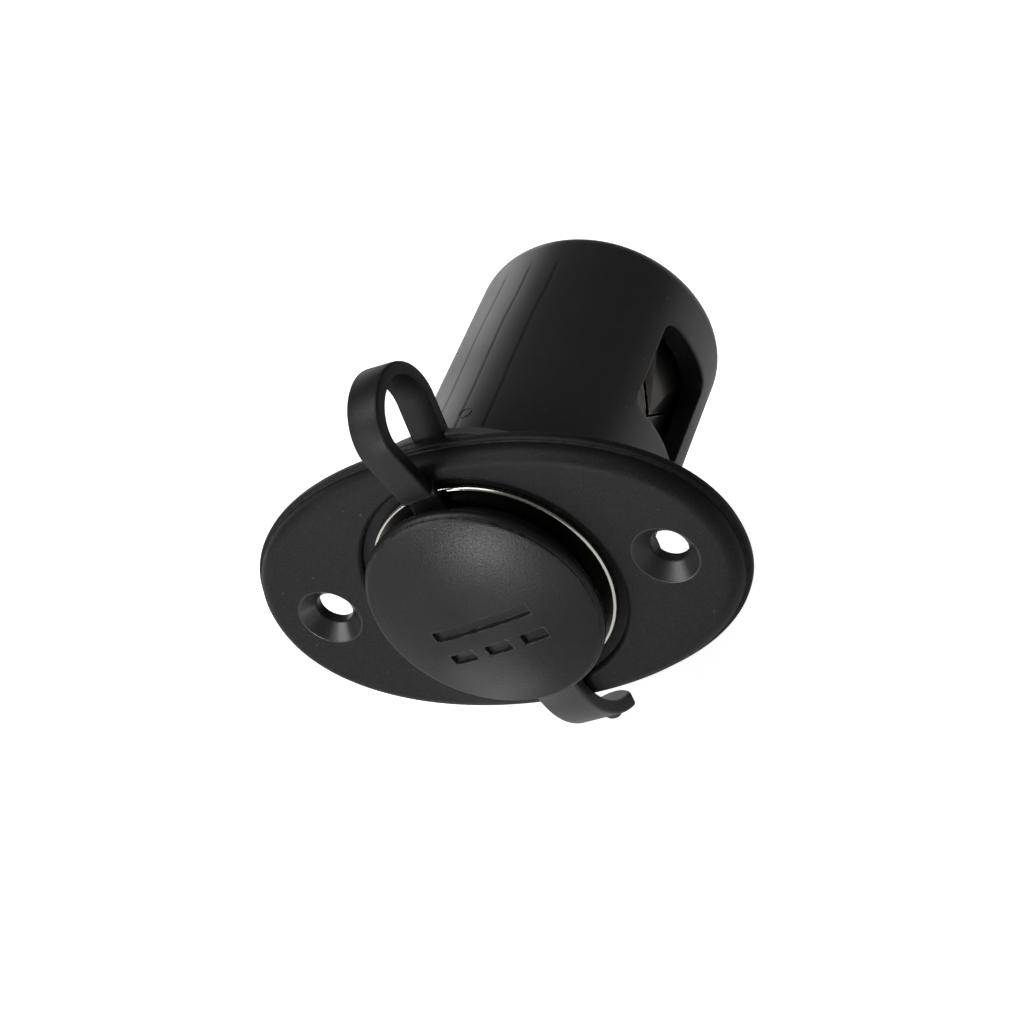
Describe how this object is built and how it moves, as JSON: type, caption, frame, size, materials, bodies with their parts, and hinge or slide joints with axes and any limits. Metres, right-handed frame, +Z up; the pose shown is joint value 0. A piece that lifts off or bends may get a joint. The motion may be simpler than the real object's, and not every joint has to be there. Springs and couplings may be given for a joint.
{
  "type": "car 12 V power socket",
  "caption": "Flush 12 V power socket with an oval screw-down plate, a round barrel with side windows and a tethered rubber dust cap.",
  "frame": {"origin": "on the barrel's axis at the plate's back face, where it lies on the panel", "axes": "+X along the oval plate through the two screw holes, -Y out of the socket's mouth towards the user, +Y along the barrel behind the panel, +Z up, the side on which the cap's strap loops"},
  "size_m": [0.0592, 0.055, 0.0539],
  "materials": {
    "black_plastic": "semi-matte moulded black on the plate, glossier on the barrel",
    "nickel": "bright nickel plate on drawn sheet",
    "insulator": "pressed phenolic board",
    "contact_brass": "tumbled brass",
    "cap_rubber": "matte dark grey rubber"
  },
  "bodies": {
    "housing": {"housing": "black_plastic", "socket_shell": "nickel", "inner_insulator": "insulator", "outer_insulator": "insulator", "contact_button": "contact_brass", "contact_washer": "nickel", "positive_terminal": "contact_brass", "negative_terminal": "nickel", "negative_rivet": "nickel", "tether_ring": "cap_rubber", "tether_strap": "cap_rubber"},
    "cap": {"dust_cap": "cap_rubber"}
  },
  "joints": [
    {"name": "cap_swing", "type": "hinge", "parent": "housing", "child": "cap", "pos_m": [0, -0.00195, 0.02365], "axis": [-1, 0, 0], "range_deg": [0, 140], "deforming": ["tether_strap"]}
  ]
}
